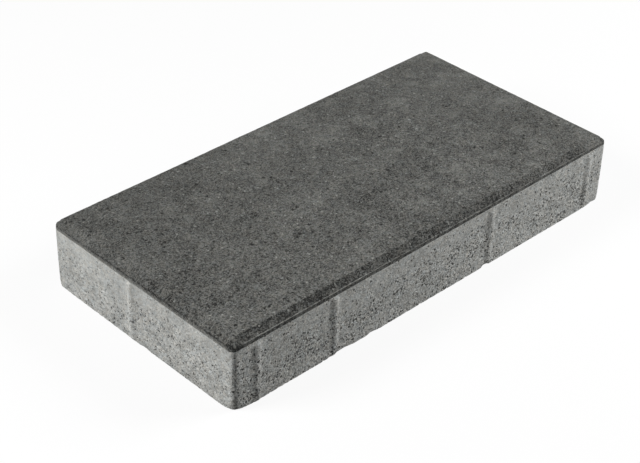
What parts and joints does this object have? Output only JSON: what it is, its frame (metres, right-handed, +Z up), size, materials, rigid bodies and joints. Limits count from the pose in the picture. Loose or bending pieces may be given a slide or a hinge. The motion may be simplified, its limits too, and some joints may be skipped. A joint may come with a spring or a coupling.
{
  "type": "concrete paving stone",
  "caption": "Flat rectangular concrete paving stone with a pressed chamfer round its dark tread face and low vertical spacer ribs on its paler sides.",
  "frame": {"origin": "middle of the bed face, the flat underside that the stone lies on", "axes": "+X along the length, +Y along the width, +Z up out of the tread face"},
  "size_m": [0.4028, 0.2028, 0.06],
  "materials": {
    "concrete": "matte"
  },
  "bodies": {
    "root": {"paving_stone": "concrete"}
  },
  "joints": []
}
